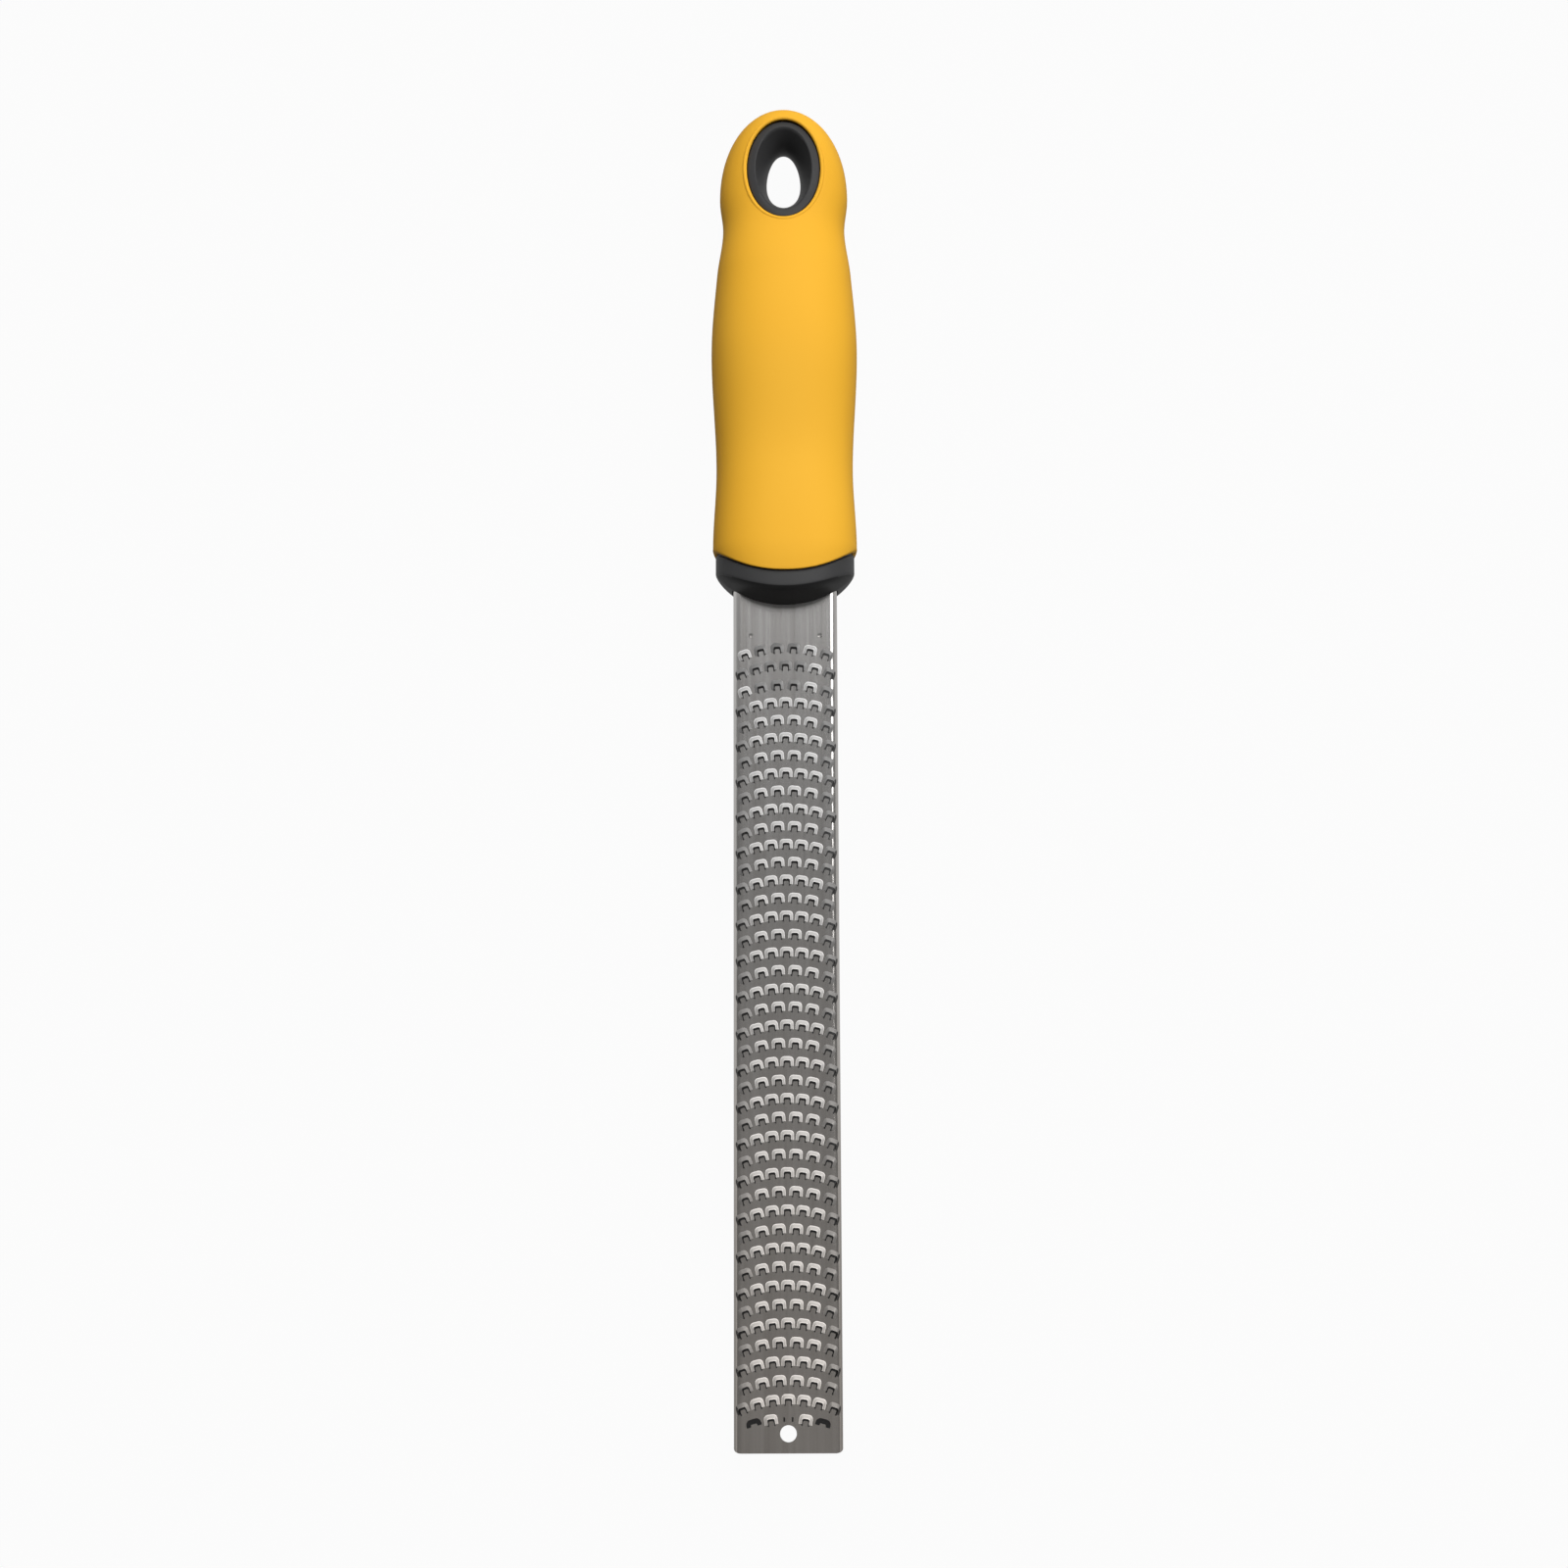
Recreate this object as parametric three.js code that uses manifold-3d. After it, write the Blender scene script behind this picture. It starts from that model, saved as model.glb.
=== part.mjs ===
// Hand zester: an etched steel channel blade fixed in a soft-grip handle with a hanging eye.
// Sizes are millimetres. In the tool frame X runs across, Y along the tool towards the hanging eye and
// Z out of the toothed face. Y = 0 is where the blade leaves the ferrule and Z = 0 is the toothed face.
// The finished tool lies on its back, tipped until the grip and the ends of the blade's rails are level.

import * as THREE from "three";
import { mergeVertices } from "three/addons/utils/BufferGeometryUtils.js";
import Module from "manifold-3d";

const wasm = await Module();
wasm.setup();

// Room left between pieces that fit into each other
const fit = 0.3;

// Blade
const bladeLength = 203.2; // from the ferrule to the tip
const bladeWidth = 25.4;
const sheet = 0.45; // thickness of the steel
const railDepth = 7; // folded sides, from the toothed face to their edges
const foldRadius = 1.8; // outside of the fold
const tipRise = 1.2; // how far the rails stop short of the tip
const tipHoleDiameter = 4;
const tipHoleInset = 4.5; // from the tip to the middle of the hole
const tangWidth = 16;
const tangLength = 52; // from the end of the channel

// Teeth: rows are arcs bowed towards the handle, with a middle tooth in every second one
const rowPitch = 4.374;
const firstRowInset = 11.5; // from the ferrule to the first row
const lastRowInset = 7.6; // least room between the last row and the tip
const rowRadius = 29;
const closePitch = 3.68; // between the teeth of a row with a middle tooth
const widePitch = 4; // between the teeth of a row with none
const toothGap = 0.52; // steel left between two teeth of a close row
const toothLength = 2.3;
const toothRamp = 1.1; // from the back of a tooth to its cutting edge, seen from the front
const toothRise = 0.5;
const toothEdge = 0.2; // steel at the cutting edge
const toothShoulder = 0.35; // how far the back corners are drawn in
const crestWidth = 2.1; // length of the cutting edge
const openSlotWidth = 3.2; // plain openings at the ends of the last row
const openSlotLength = 1.6;

// Tang pins
const pinDiameter = 4;
const pinLength = 12;
const pinInset = 16; // from the end of the channel to the first pin, and from the last one to the tang's end

// Handle: widths and depths at the stations that shape it, and the way from one to the next
const faceAboveMiddle = 2; // toothed face above the handle's middle plane
const flareWidth = 35.6;
const flareDepth = 26;
const flareToWaist = 19.8;
const waistWidth = 33.9;
const waistDepth = 25.8;
const waistToBelly = 30.5;
const bellyWidth = 36.4;
const bellyDepth = 31;
const bellyToShoulder = 20.6;
const shoulderWidth = 33.6;
const shoulderDepth = 27.6;
const shoulderToNeck = 12;
const neckWidth = 30.6;
const neckDepth = 23.6;
const neckToBulge = 8.1;
const bulgeWidth = 32.2;
const bulgeDepth = 23;
const bulgeToEnd = 23.4;
const sectionPower = 2.2; // 2 is an ellipse, more is squarer
const endPowerAcross = 2.1; // rounding of the end, seen from the front
const endPowerDeep = 2.8; // and from the side
const sleeveWall = 3;

// Hanging eye
const eyeSideWall = 7.1; // grip left beside the ring
const eyeEndWall = 5.1; // and beyond it
const eyeLength = 26.7;
const eyeRim = 1.8; // face of the ring
const eyeWaistWidth = 8.7;
const eyeWaistLength = 14.2;

// Ferrule
const ferruleStep = 0.75; // set in from the grip
const noseRadius = 24; // roundness of the nose from side to side
const noseFront = 2.2; // how far it leans back at the front
const noseBack = 1.5; // and curves back at the back
const noseRounding = 0.5; // where it turns into the band
const noseWall = 6.7; // solid nose in front of the core
const jointInset = 12.6; // joint with the grip, at the sides
const jointDip = 7; // how much nearer the tip it runs at the front and back
const jointGroove = 0.5;
const lipLength = 1.4; // rounded edge of the grip, from the groove to the flare

// Fineness of the curved surfaces
const sectionPoints = 24;
const ovalPoints = 24;
const domeRings = 5;
const ringsPerSpan = 2;
const funnelRings = 6;
const foldCreases = [0.25, 0.75, 1]; // shares of the fold's arc
const arcSteps = 2;
const noseRings = [0.35, 0.65, 0.9, 1]; // shares of the way from the nose's middle to the band
const lipRounding = [[-0.3, 1.6], [0.3, 0.3], [0.9, 0]];

// Places that follow from the sizes
const flatHalf = bladeWidth / 2 - foldRadius;
const foldArc = (foldRadius * Math.PI) / 2;
const blankHalf = flatHalf + foldArc + railDepth - foldRadius;
const channelEnd = noseWall - fit;
const tangEnd = channelEnd + tangLength;
const pinPlaces = [channelEnd + pinInset, tangEnd - pinInset];
const tangMiddle = -sheet / 2;
const handleMiddle = -faceAboveMiddle;
const flareAt = jointInset + jointGroove + lipLength;
const stations = [
  [flareAt, flareWidth, flareDepth],
  [flareToWaist, waistWidth, waistDepth],
  [waistToBelly, bellyWidth, bellyDepth],
  [bellyToShoulder, shoulderWidth, shoulderDepth],
  [shoulderToNeck, neckWidth, neckDepth],
  [neckToBulge, bulgeWidth, bulgeDepth],
].map(([, width, depth], i, all) => ({
  at: all.slice(0, i + 1).reduce((sum, [step]) => sum + step, 0),
  width,
  depth,
}));
const bulgeAt = stations[stations.length - 1].at;
const handleEnd = bulgeAt + bulgeToEnd;
const eyeHalfWidth = bulgeWidth / 2 - eyeSideWall;
const eyeMiddle = handleEnd - eyeEndWall - eyeLength / 2;
const ferruleHalfWidth = flareWidth / 2 - ferruleStep;
const ferruleHalfDepth = flareDepth / 2 - ferruleStep;
const through = 2 * (bladeLength + handleEnd); // long enough to cut right through

// Solids and meshes

function geometryOf(triangles) {
  const positions = triangles.flat().flatMap((corner) => corner.toArray());
  const geometry = new THREE.BufferGeometry();
  return geometry.setAttribute("position", new THREE.Float32BufferAttribute(positions, 3));
}

function solid(geometry) {
  const bare = geometry.clone();
  bare.deleteAttribute("normal");
  bare.deleteAttribute("uv");
  const merged = mergeVertices(bare);
  const vertProperties = merged.getAttribute("position").array;
  const triVerts = new Uint32Array(merged.index.array);
  return new wasm.Manifold(new wasm.Mesh({ numProp: 3, vertProperties, triVerts }));
}

function meshOf(name, shape, look) {
  let geometry = shape;
  if (!shape.isBufferGeometry) {
    const { vertProperties, triVerts } = shape.getMesh();
    geometry = new THREE.BufferGeometry();
    geometry.setAttribute("position", new THREE.BufferAttribute(vertProperties, 3));
    geometry.setIndex(new THREE.BufferAttribute(triVerts, 1));
  }
  geometry.computeVertexNormals();
  const mesh = new THREE.Mesh(geometry, new THREE.MeshStandardMaterial(look));
  mesh.name = name;
  return mesh;
}

const quad = (a, b, c, d) => [
  [a, b, c],
  [a, c, d],
];

// A skin over rings of points, closed by a fan to a tip at each end
function loft(rings, firstTip, lastTip) {
  const triangles = [];
  rings.forEach((ring, i) => {
    ring.forEach((point, j) => {
      const next = (j + 1) % ring.length;
      if (i === 0) triangles.push([firstTip, point, ring[next]]);
      if (i === rings.length - 1) triangles.push([lastTip, ring[next], point]);
      else triangles.push(...quad(point, rings[i + 1][j], rings[i + 1][next], ring[next]));
    });
  });
  return geometryOf(triangles);
}

// An outline drawn on two axes, swept both ways along the third
const across = new THREE.Vector3(1, 0, 0);
const along = new THREE.Vector3(0, 1, 0);
const outward = new THREE.Vector3(0, 0, 1);
function prism(shape, first, second, curveSegments = ovalPoints) {
  const sweep = { depth: through, bevelEnabled: false, curveSegments };
  const geometry = new THREE.ExtrudeGeometry(shape, sweep).translate(0, 0, -through / 2);
  const third = new THREE.Vector3().crossVectors(first, second);
  return geometry.applyMatrix4(new THREE.Matrix4().makeBasis(first, second, third));
}

function oval(halfWidth, halfLength) {
  return new THREE.Shape().absellipse(0, 0, halfWidth, halfLength, 0, Math.PI * 2, false, 0);
}

// Blade: etched flat, then folded. The flat blank has X across, Y along and Z above the toothed face.

function fold(point) {
  const over = Math.abs(point.x) - flatHalf;
  if (over <= 0) return point;
  const turn = Math.min(over / foldRadius, Math.PI / 2);
  const straight = over - turn * foldRadius;
  const reach = foldRadius + point.z;
  const x = Math.sign(point.x) * (flatHalf + reach * Math.sin(turn));
  return new THREE.Vector3(x, point.y, reach * Math.cos(turn) - foldRadius - straight);
}

// Splits the triangles that cross the line X = place, so that the blank can be folded there
function crease(triangles, place) {
  const cut = (from, to) => {
    const [low, high] = from.x < to.x ? [from, to] : [to, from];
    return low.clone().lerp(high, (place - low.x) / (high.x - low.x)).setX(place);
  };
  return triangles.flatMap((corners) => {
    const sides = corners.map((corner) => Math.sign(corner.x - place));
    if (!sides.includes(1) || !sides.includes(-1)) return [corners];
    const isLone = (side, i) => side && sides.every((other, j) => i === j || other !== side);
    const lone = sides.findIndex(isLone);
    const [a, b, c] = [0, 1, 2].map((step) => corners[(lone + step) % 3]);
    const onB = b.x === place ? b : cut(a, b);
    const onC = c.x === place ? c : cut(a, c);
    const pieces = [[a, onB, onC]];
    if (onB !== b) pieces.push([onB, b, c]);
    if (onC !== c) pieces.push([onB, c, onC]);
    return pieces;
  });
}

const atHeight = (height) => (point) => new THREE.Vector3(point.x, point.y, height);

function plate(outline, holes, height, facesUp) {
  const points = [outline, ...holes].flat().map(atHeight(height));
  return THREE.ShapeUtils.triangulateShape(outline, holes).map((face) => {
    const [a, b, c] = face.map((i) => points[i]);
    const turn = (b.x - a.x) * (c.y - a.y) - (b.y - a.y) * (c.x - a.x);
    return turn > 0 === facesUp ? [a, b, c] : [a, c, b];
  });
}

// The steel's edge along an outline that runs anticlockwise, facing out of it
function edge(outline) {
  const top = outline.map(atHeight(0));
  const bottom = outline.map(atHeight(-sheet));
  return outline.flatMap((_, i) => {
    const next = (i + 1) % outline.length;
    return quad(top[i], bottom[i], bottom[next], top[next]);
  });
}

function circle(x, y, radius) {
  const curve = new THREE.EllipseCurve(x, y, radius, radius);
  return curve.getPoints(ovalPoints / 2).slice(1);
}

// Puts a point of a tooth, given across, towards the handle and up, at its place round a row's arc
function placer(row, angle) {
  const sin = Math.sin(angle);
  const cos = Math.cos(angle);
  return (a, b, up) =>
    new THREE.Vector3(
      (rowRadius + b) * sin + a * cos,
      row - rowRadius + (rowRadius + b) * cos - a * sin,
      up,
    );
}

const toothHalf = (closePitch - toothGap) / 2;

// A hood pushed up out of the sheet, open towards the tip: its faces and the openings in both sides
function tooth(row, angle) {
  const put = placer(row, angle);
  const back = toothLength / 2;
  const backHalf = toothHalf - toothShoulder;
  const crestAt = back - toothRamp;
  const pair = (half, b, up) => [put(-half, b, up), put(half, b, up)];
  const [backLeft, backRight] = pair(backHalf, back, 0);
  const [footLeft, footRight] = pair(toothHalf, -back, 0);
  const [crestLeft, crestRight] = pair(crestWidth / 2, crestAt, toothRise);
  const [underLeft, underRight] = pair(crestWidth / 2, crestAt, toothRise - toothEdge);
  const [rootLeft, rootRight] = pair(backHalf - toothEdge / 2, back - toothEdge / 2, -sheet);
  const [heelLeft, heelRight] = pair(toothHalf, -back, -sheet);
  return {
    top: [backLeft, backRight, footRight, footLeft],
    bottom: [rootLeft, rootRight, heelRight, heelLeft],
    faces: [
      ...quad(backLeft, crestLeft, crestRight, backRight),
      [backLeft, footLeft, crestLeft],
      [backRight, crestRight, footRight],
      ...quad(rootLeft, rootRight, underRight, underLeft),
      [rootLeft, underLeft, heelLeft],
      [rootRight, heelRight, underRight],
      ...quad(crestLeft, underLeft, underRight, crestRight),
      ...quad(footLeft, heelLeft, underLeft, crestLeft),
      ...quad(crestRight, underRight, heelRight, footRight),
      ...quad(footRight, heelRight, heelLeft, footLeft),
    ],
  };
}

// A half-moon opening with no hood
function openSlot(row, angle) {
  const put = placer(row, angle);
  const curve = new THREE.EllipseCurve(0, 0, openSlotWidth / 2, openSlotLength, 0, Math.PI);
  return curve.getPoints(ovalPoints / 2).map((point) => {
    const placed = put(point.x, point.y - openSlotLength / 2, 0);
    return new THREE.Vector2(placed.x, placed.y);
  });
}

function blade() {
  const rowCount = 1 + Math.floor((bladeLength - firstRowInset - lastRowInset) / rowPitch);
  const sideTeeth = Math.floor((flatHalf + foldArc / 2) / closePitch);
  const openings = [];
  const teeth = [];
  for (let i = 0; i < rowCount; i++) {
    const row = -firstRowInset - i * rowPitch;
    const hasMiddle = i % 2 === 1;
    const isLast = i === rowCount - 1;
    const steps = hasMiddle ? 2 * sideTeeth + 1 : 2 * sideTeeth;
    const pitch = hasMiddle ? closePitch : widePitch;
    if (isLast) {
      for (const side of [-1, 1]) {
        teeth.push(tooth(row, (side * widePitch) / rowRadius));
        openings.push(openSlot(row, (side * 2 * widePitch) / rowRadius));
      }
    } else {
      for (let k = 0; k < steps; k++) {
        teeth.push(tooth(row, ((k - (steps - 1) / 2) * pitch) / rowRadius));
      }
    }
  }
  openings.push(circle(0, tipHoleInset - bladeLength, tipHoleDiameter / 2));
  openings.push(...pinPlaces.map((place) => circle(0, place, pinDiameter / 2 + fit)));

  // The toothed middle of the blank with its tang, and a plain strip on each side of it
  const tipLine = (u) => {
    const share = THREE.MathUtils.clamp((Math.abs(u) - flatHalf) / foldArc, 0, 1);
    return new THREE.Vector2(u, tipRise * share ** 2 - bladeLength);
  };
  const reach = Math.max(...teeth.flatMap((one) => one.top.map((point) => point.x)));
  const toothedHalf = Math.max(reach + toothGap, flatHalf);
  const tangHalf = tangWidth / 2;
  const middle = [
    ...[-toothedHalf, -flatHalf, flatHalf, toothedHalf].map(tipLine),
    new THREE.Vector2(toothedHalf, channelEnd),
    new THREE.Vector2(tangHalf, channelEnd),
    new THREE.Vector2(tangHalf, tangEnd),
    new THREE.Vector2(-tangHalf, tangEnd),
    new THREE.Vector2(-tangHalf, channelEnd),
    new THREE.Vector2(-toothedHalf, channelEnd),
  ];
  const strip = (side) => [
    ...[toothedHalf, blankHalf].map((u) => tipLine(side * u)),
    ...[blankHalf, toothedHalf].map((u) => new THREE.Vector2(side * u, channelEnd)),
  ];
  const right = strip(1);
  const left = strip(-1);
  const outline = [
    left[1],
    ...middle.slice(0, 4),
    ...right.slice(1, 3),
    ...middle.slice(4),
    left[2],
  ];

  const flat = (points) => points.map((point) => new THREE.Vector2(point.x, point.y));
  const topHoles = [...teeth.map((one) => flat(one.top)), ...openings];
  const bottomHoles = [...teeth.map((one) => flat(one.bottom)), ...openings];
  let triangles = [
    ...plate(middle, topHoles, 0, true),
    ...plate(middle, bottomHoles, -sheet, false),
    ...[right, left].flatMap((side) => plate(side, [], 0, true)),
    ...[right, left].flatMap((side) => plate(side, [], -sheet, false)),
    ...edge(outline),
    ...openings.flatMap((opening) => edge([...opening].reverse())),
    ...teeth.flatMap((one) => one.faces),
  ];
  for (const share of foldCreases) {
    const place = flatHalf + share * foldArc;
    triangles = crease(crease(triangles, place), -place);
  }
  return geometryOf(triangles.map((corners) => corners.map(fold)));
}

// Handle

// Smooth curve through the stations, level where the handle is widest or narrowest
function stationValue(key, y) {
  if (y <= stations[0].at) return stations[0][key];
  const i = stations.findIndex((station) => station.at >= y);
  const slope = (n) => {
    const [before, here, after] = [stations[n - 1], stations[n], stations[n + 1]];
    if (!before || !after) return 0;
    const rising = here[key] - before[key];
    const leaving = after[key] - here[key];
    return rising * leaving > 0 ? (rising + leaving) / (after.at - before.at) : 0;
  };
  const [from, to] = [stations[i - 1], stations[i]];
  const span = to.at - from.at;
  const t = (y - from.at) / span;
  const ease = t * t * (3 - 2 * t);
  const bend = t * (1 - t) * ((1 - t) * slope(i - 1) - t * slope(i)) * span;
  return from[key] + (to[key] - from[key]) * ease + bend;
}

// One ring of the handle's surface, set in from the outside
function handleRing(y, inset) {
  let halfWidth = stationValue("width", Math.min(y, bulgeAt)) / 2 - inset;
  let halfDepth = stationValue("depth", Math.min(y, bulgeAt)) / 2 - inset;
  if (y > bulgeAt) {
    const share = (y - bulgeAt) / (bulgeToEnd - inset);
    halfWidth *= (1 - share ** endPowerAcross) ** (1 / endPowerAcross);
    halfDepth *= (1 - share ** endPowerDeep) ** (1 / endPowerDeep);
  }
  const rounded = (value) => Math.sign(value) * Math.abs(value) ** (2 / sectionPower);
  return Array.from({ length: sectionPoints }, (_, j) => {
    const angle = (2 * Math.PI * j) / sectionPoints;
    const x = halfWidth * rounded(Math.cos(angle));
    return new THREE.Vector3(x, y, handleMiddle + halfDepth * rounded(Math.sin(angle)));
  });
}

// The handle set in from its outside, from the flare to the end, with rings of its own ahead of the flare
function handleSolid(leadRings, inset) {
  const spanPlaces = stations.slice(1).flatMap((station, i) => {
    const from = stations[i].at;
    const step = (station.at - from) / ringsPerSpan;
    return Array.from({ length: ringsPerSpan }, (_, k) => from + (k + 1) * step);
  });
  const domeLength = bulgeToEnd - inset;
  const domePlaces = Array.from({ length: domeRings }, (_, k) => {
    return bulgeAt + domeLength * Math.sin(((k + 1) / (domeRings + 1)) * (Math.PI / 2));
  });
  const places = [flareAt, ...spanPlaces, ...domePlaces];
  const rings = [...leadRings, ...places.map((y) => handleRing(y, inset))];
  const tip = (y) => new THREE.Vector3(0, y, handleMiddle);
  return solid(loft(rings, tip(rings[0][0].y), tip(bulgeAt + domeLength)));
}

const plainHandle = (start, inset) => handleSolid([handleRing(start, inset)], inset);

// Through the handle, at the eye, with room round it
function eyePrism(room) {
  const shape = oval(eyeHalfWidth + room, eyeLength / 2 + room);
  return solid(prism(shape, across, along).translate(0, eyeMiddle, handleMiddle));
}

// The hole of the ring: narrowest at the middle plane, widening to the rim at both faces
function eyeFunnel() {
  const face = bulgeDepth / 2;
  const flare = (waist, mouth, z) => Math.hypot(waist, Math.sqrt(mouth ** 2 - waist ** 2) * (z / face));
  const top = 2 * face;
  const rings = Array.from({ length: funnelRings + 1 }, (_, i) => {
    const z = top * (1 - (2 * i) / funnelRings);
    const halfWidth = flare(eyeWaistWidth / 2, eyeHalfWidth - eyeRim, z);
    const halfLength = flare(eyeWaistLength / 2, eyeLength / 2 - eyeRim, z);
    return Array.from({ length: ovalPoints }, (_, j) => {
      const angle = (2 * Math.PI * j) / ovalPoints;
      const y = eyeMiddle + halfLength * Math.sin(angle);
      return new THREE.Vector3(halfWidth * Math.cos(angle), y, handleMiddle + z);
    });
  });
  const tip = (z) => new THREE.Vector3(0, eyeMiddle, handleMiddle + z);
  return solid(loft(rings, tip(top), tip(-top)));
}

// The curved joint between ferrule and grip, at a height from the handle's middle
const jointAt = (height) => jointInset - jointDip * (height / ferruleHalfDepth) ** 2;

// Everything on the eye's side of the joint, moved by the groove
function gripSide(groove) {
  const deep = flareDepth;
  const start = jointAt(deep) + groove;
  const shape = new THREE.Shape();
  shape.moveTo(through, deep);
  shape.lineTo(start, deep);
  shape.quadraticCurveTo(2 * (jointInset + groove) - start, 0, start, -deep);
  shape.lineTo(through, -deep);
  return solid(prism(shape, along, outward).translate(0, 0, handleMiddle));
}

// The grip's edge is rounded down to the ferrule along the joint. Each ring of the rounding stands a share
// of the lip's length past the groove, and is set in by a share of the ferrule's step.
function gripSleeve() {
  const lipRing = ([ahead, drop]) =>
    handleRing(flareAt, drop * ferruleStep).map((point) => {
      const y = jointAt(point.z - handleMiddle) + jointGroove + ahead * lipLength;
      return point.setY(y);
    });
  const outside = handleSolid([handleRing(-jointInset, 2 * ferruleStep), ...lipRounding.map(lipRing)], 0);
  const cavity = plainHandle(-jointInset, sleeveWall - fit);
  return outside.intersect(gripSide(jointGroove)).subtract(cavity).subtract(eyePrism(fit));
}

function hangRing() {
  return plainHandle(0, 0).intersect(eyePrism(0)).subtract(eyeFunnel());
}

// How far the nose has fallen back, at a place across and a height from the handle's middle
function noseAt(x, height) {
  const over = height - faceAboveMiddle;
  const bow = noseRadius - Math.sqrt(Math.max(noseRadius ** 2 - x ** 2, 0));
  const lean = noseFront * Math.max(over / (ferruleHalfDepth - faceAboveMiddle), 0);
  const curve = noseBack * Math.min(over / (ferruleHalfDepth + faceAboveMiddle), 0) ** 2;
  return bow + lean + curve;
}

function ferrule() {
  const section = handleRing(0, ferruleStep);
  const noseRing = (share) =>
    section.map((point) => {
      const x = point.x * share;
      const height = (point.z - handleMiddle) * share;
      const rounding = share === 1 ? noseRounding : 0;
      return new THREE.Vector3(x, noseAt(x, height) + rounding, handleMiddle + height);
    });
  const end = section.map((point) => point.clone().setY(2 * jointInset));
  const middle = (y) => new THREE.Vector3(0, y, handleMiddle);
  const rings = [...noseRings.map(noseRing), end];
  return solid(loft(rings, middle(noseAt(0, 0)), middle(2 * jointInset)))
    .subtract(gripSide(0))
    .subtract(plainHandle(noseWall, sleeveWall - fit))
    .subtract(channelSlot());
}

// The blade's channel with room all round it
function channelSlot() {
  const outer = foldRadius + fit;
  const inner = foldRadius - sheet - fit;
  const bottom = -railDepth - fit;
  const shape = new THREE.Shape();
  shape.moveTo(flatHalf + inner, bottom);
  shape.lineTo(flatHalf + outer, bottom);
  shape.absarc(flatHalf, -foldRadius, outer, 0, Math.PI / 2, false);
  shape.absarc(-flatHalf, -foldRadius, outer, Math.PI / 2, Math.PI, false);
  shape.lineTo(-flatHalf - outer, bottom);
  shape.lineTo(-flatHalf - inner, bottom);
  shape.absarc(-flatHalf, -foldRadius, inner, Math.PI, Math.PI / 2, true);
  shape.absarc(flatHalf, -foldRadius, inner, Math.PI / 2, 0, true);
  return solid(prism(shape, across, outward, arcSteps));
}

function tangPin(place, room) {
  const radius = pinDiameter / 2 + room;
  const geometry = new THREE.CylinderGeometry(radius, radius, pinLength + 2 * room, ovalPoints / 2);
  return geometry.rotateX(Math.PI / 2).translate(0, place, tangMiddle);
}

// Half of the core, in front of the tang (side 1) or behind it (side -1)
function coreHalf(side) {
  const room = new THREE.BoxGeometry(through, through, through);
  room.translate(0, 0, tangMiddle + (side * (through + fit)) / 2);
  const pocket = new THREE.BoxGeometry(tangWidth + 2 * fit, 2 * (tangEnd + fit), sheet + 2 * fit);
  pocket.translate(0, 0, tangMiddle);
  let half = plainHandle(noseWall + fit, sleeveWall).intersect(solid(room));
  half = half.subtract(solid(pocket)).subtract(eyePrism(fit));
  for (const place of pinPlaces) half = half.subtract(solid(tangPin(place, fit)));
  return half;
}

// Looks
const steel = { color: 0xb4b3b0, roughness: 0.3, metalness: 1 };
const pinSteel = { color: 0xa5a5a3, roughness: 0.4, metalness: 1 };
const softGrip = { color: 0xf3b02f, roughness: 0.6, metalness: 0 };
const blackPlastic = { color: 0x2b2b2d, roughness: 0.5, metalness: 0 };
const corePlastic = { color: 0x3a3a3c, roughness: 0.6, metalness: 0 };

const grip = meshOf("grip_sleeve", gripSleeve(), softGrip);
const tool = new THREE.Group();
tool.add(
  meshOf("blade", blade(), steel),
  meshOf("tang_pin_blade_end", tangPin(pinPlaces[0], 0), pinSteel),
  meshOf("tang_pin_eye_end", tangPin(pinPlaces[1], 0), pinSteel),
  meshOf("core_front_half", coreHalf(1), corePlastic),
  meshOf("core_back_half", coreHalf(-1), corePlastic),
  meshOf("ferrule", ferrule(), blackPlastic),
  meshOf("hang_ring", hangRing(), blackPlastic),
  grip,
);

// Tip the tool about X until the rails' ends are level with the lowest place on the grip
const gripPoints = grip.geometry.getAttribute("position");
const slopes = Array.from({ length: gripPoints.count }, (_, i) => {
  return Math.atan2(-railDepth - gripPoints.getZ(i), gripPoints.getY(i) + bladeLength - tipRise);
});
tool.rotation.x = Math.max(...slopes);

// Stand it on Z = 0, in the middle of X and Y
const zester = new THREE.Group();
zester.name = "zester";
zester.add(tool);
const box = new THREE.Box3().setFromObject(zester, true);
const center = box.getCenter(new THREE.Vector3());
tool.position.set(-center.x, -center.y, -box.min.z);

export default zester;
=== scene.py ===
import math

import bmesh
import bpy
from mathutils import Matrix, Vector


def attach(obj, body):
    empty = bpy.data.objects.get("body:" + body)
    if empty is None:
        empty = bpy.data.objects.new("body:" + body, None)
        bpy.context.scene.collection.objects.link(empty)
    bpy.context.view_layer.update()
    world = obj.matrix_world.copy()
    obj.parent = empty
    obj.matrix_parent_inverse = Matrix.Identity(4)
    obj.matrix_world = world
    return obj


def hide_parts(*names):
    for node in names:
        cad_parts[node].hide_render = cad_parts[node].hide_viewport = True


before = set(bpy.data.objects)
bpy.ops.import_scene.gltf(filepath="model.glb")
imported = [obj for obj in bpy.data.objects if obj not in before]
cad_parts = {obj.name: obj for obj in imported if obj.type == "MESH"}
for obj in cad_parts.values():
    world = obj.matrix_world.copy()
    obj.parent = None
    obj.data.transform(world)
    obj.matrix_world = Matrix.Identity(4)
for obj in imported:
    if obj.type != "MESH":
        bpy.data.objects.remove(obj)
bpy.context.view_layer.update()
scene = bpy.context.scene
scene.view_settings.view_transform = "Standard"

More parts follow.
